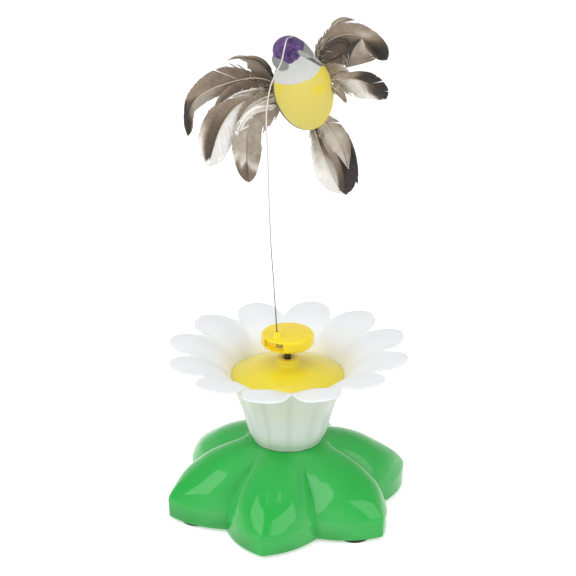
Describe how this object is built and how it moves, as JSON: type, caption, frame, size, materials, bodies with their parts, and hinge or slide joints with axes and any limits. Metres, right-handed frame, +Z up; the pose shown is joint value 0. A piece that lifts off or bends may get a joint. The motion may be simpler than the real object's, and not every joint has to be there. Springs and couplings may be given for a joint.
{
  "type": "rotating bird cat toy",
  "caption": "Battery cat toy: a lobed green base with a flower cup, a geared rotor on a vertical shaft, and a feathered foam bird on a spring wire.",
  "frame": {"origin": "on the rotor's axis, in the plane that the feet stand on", "axes": "+Z up along the rotor's axis; the lobe with the switch points along -Y"},
  "size_m": [0.1236, 0.13, 0.2612],
  "materials": {
    "base_green": "gloss",
    "foot_rubber": "matte",
    "cell_sleeve": "gloss",
    "black_plastic": "satin",
    "petal_white": "satin",
    "centre_yellow": "gloss",
    "rotor_yellow": "satin",
    "brass": "satin",
    "gearbox_grey": "matte",
    "gear_nylon": "satin",
    "lead_black": "satin",
    "lead_red": "satin",
    "foam_body": "matte",
    "foam_head": "matte",
    "feather": "matte",
    "steel": "satin"
  },
  "bodies": {
    "base": {"base_shell": "base_green", "base_plate": "base_green", "foot_1": "foot_rubber", "foot_2": "foot_rubber", "foot_3": "foot_rubber", "base_screw_1": "steel", "base_screw_2": "steel", "base_screw_3": "steel", "battery_cell_1": "cell_sleeve", "battery_cell_2": "cell_sleeve", "battery_cell_3": "cell_sleeve", "battery_spring_1": "steel", "battery_spring_2": "steel", "battery_spring_3": "steel", "contact_start": "steel", "contact_bridge_near": "steel", "contact_bridge_far": "steel", "contact_end": "steel", "switch_body": "black_plastic", "flower_cup": "petal_white", "flower_centre": "centre_yellow", "shaft_bush": "brass", "gearbox_base": "gearbox_grey", "gearbox_cover": "gearbox_grey", "gearbox_screw_1": "steel", "gearbox_screw_2": "steel", "gearbox_screw_3": "steel", "idler_pin": "steel", "motor_can": "steel", "motor_end_cap": "black_plastic", "lead_negative": "lead_black", "lead_positive": "lead_red", "lead_switched": "lead_red"},
    "door": {"battery_door": "base_green", "door_screw": "steel"},
    "switch": {"switch_knob": "black_plastic"},
    "rotor": {"output_gear": "gear_nylon", "output_shaft": "steel", "rotor_disc": "rotor_yellow"},
    "idler": {"compound_gear": "gear_nylon"},
    "motor_rotor": {"motor_pinion": "brass"},
    "lure": {"lure_wire": "steel", "bird_body": "foam_body", "bird_head": "foam_head", "bird_beak": "foam_head", "wing_left_top": "feather", "wing_left_main": "feather", "wing_left_inner": "feather", "wing_left_low": "feather", "wing_left_front": "feather", "wing_right_top": "feather", "wing_right_main": "feather", "wing_right_arc": "feather", "wing_right_mid": "feather", "wing_right_low": "feather", "wing_right_down": "feather", "tail_light": "feather", "tail_front": "feather", "tail_side": "feather", "tail_mid": "feather"}
  },
  "joints": [
    {"name": "rotor_spin", "type": "hinge", "parent": "base", "child": "rotor", "pos_m": [0, 0, 0.0937], "axis": [0, 0, 1], "continuous": true},
    {"name": "idler_spin", "type": "hinge", "parent": "base", "child": "idler", "pos_m": [0, 0.011, 0.0637], "axis": [0, 0, 1], "continuous": true},
    {"name": "motor_spin", "type": "hinge", "parent": "base", "child": "motor_rotor", "pos_m": [0.00532, 0.00137, 0.0617], "axis": [0, 0, 1], "continuous": true},
    {"name": "wire_sway", "type": "hinge", "parent": "rotor", "child": "lure", "pos_m": [-0.00415, -0.00616, 0.0962], "axis": [0.8294, -0.5587, 0], "range_deg": [-12, 12], "stiffness_Nm_per_rad": 0.06, "springref_deg": 0.99},
    {"name": "switch_slide", "type": "slide", "parent": "base", "child": "switch", "axis": [1, 0, 0], "range_m": [0, 0.0035]},
    {"name": "battery_door_hinge", "type": "hinge", "parent": "base", "child": "door", "pos_m": [-0.02995, 0, 0.0028], "axis": [0, 1, 0], "range_deg": [0, 30]}
  ],
  "couplings": [
    {"joint": "idler_spin", "follows": "rotor_spin", "ratio": -4.5},
    {"joint": "motor_spin", "follows": "rotor_spin", "ratio": 20.25}
  ]
}
